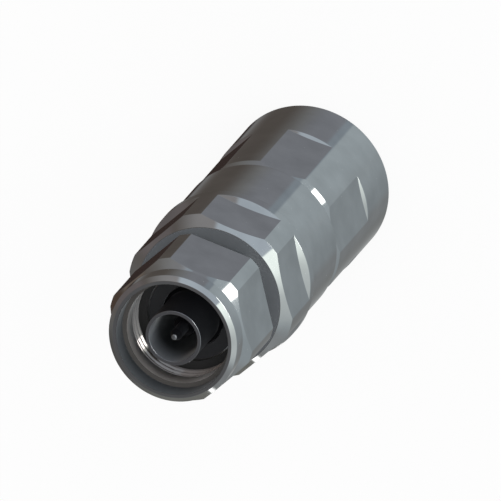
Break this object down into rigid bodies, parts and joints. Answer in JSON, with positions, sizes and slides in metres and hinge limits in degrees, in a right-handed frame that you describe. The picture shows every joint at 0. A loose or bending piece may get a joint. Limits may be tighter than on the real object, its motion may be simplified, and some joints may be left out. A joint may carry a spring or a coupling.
{
  "type": "n-type plug",
  "caption": "Male N-type coaxial cable plug with a free-turning coupling nut, wrench flats and a screw-down cable clamp.",
  "frame": {"origin": "centre of the clamp nut's rear face, where the cable enters and where the plug stands", "axes": "+Z along the plug's axis from the cable entry to the mating end; wrench flats face +X, -X and every 60 degrees from them"},
  "size_m": [0.024, 0.024, 0.0628],
  "materials": {
    "nickel_plate": "dark satin nickel plate over brass",
    "bare_brass": "turned brass",
    "silver_plate": "grey silver plate over brass",
    "spring_wire": "drawn spring wire",
    "ptfe": "white PTFE",
    "silicone": "matt black silicone"
  },
  "bodies": {
    "clamp_nut": {"clamp_nut": "nickel_plate"},
    "gland": {"slip_washer": "bare_brass", "cable_gasket": "silicone", "gasket_follower": "bare_brass", "clamping_collet": "bare_brass", "collet_spring": "spring_wire"},
    "front_body": {"front_body": "nickel_plate", "clamping_seat": "bare_brass", "body_o_ring": "silicone", "basket_support": "ptfe", "basket_spring": "spring_wire", "contact_basket": "silver_plate", "insulator_bushing": "bare_brass", "rear_insulator": "ptfe", "front_insulator": "ptfe", "centre_pin": "silver_plate", "outer_contact": "silver_plate", "interface_gasket": "silicone", "nut_retaining_ring": "spring_wire"},
    "coupling_nut": {"coupling_nut": "nickel_plate"}
  },
  "joints": [
    {"name": "clamp_turn", "type": "hinge", "parent": "clamp_nut", "child": "gland", "pos_m": [0, 0, 0], "axis": [0, 0, 1], "range_deg": [0, 2160]},
    {"name": "body_rise", "type": "slide", "parent": "gland", "child": "front_body", "axis": [0, 0, 1], "range_m": [0, 0.00601]},
    {"name": "coupling_nut_spin", "type": "hinge", "parent": "front_body", "child": "coupling_nut", "pos_m": [0, 0, 0.0558], "axis": [0, 0, 1], "continuous": true}
  ],
  "couplings": [
    {"joint": "body_rise", "follows": "clamp_turn", "m_per_rad": 0.00015915}
  ]
}
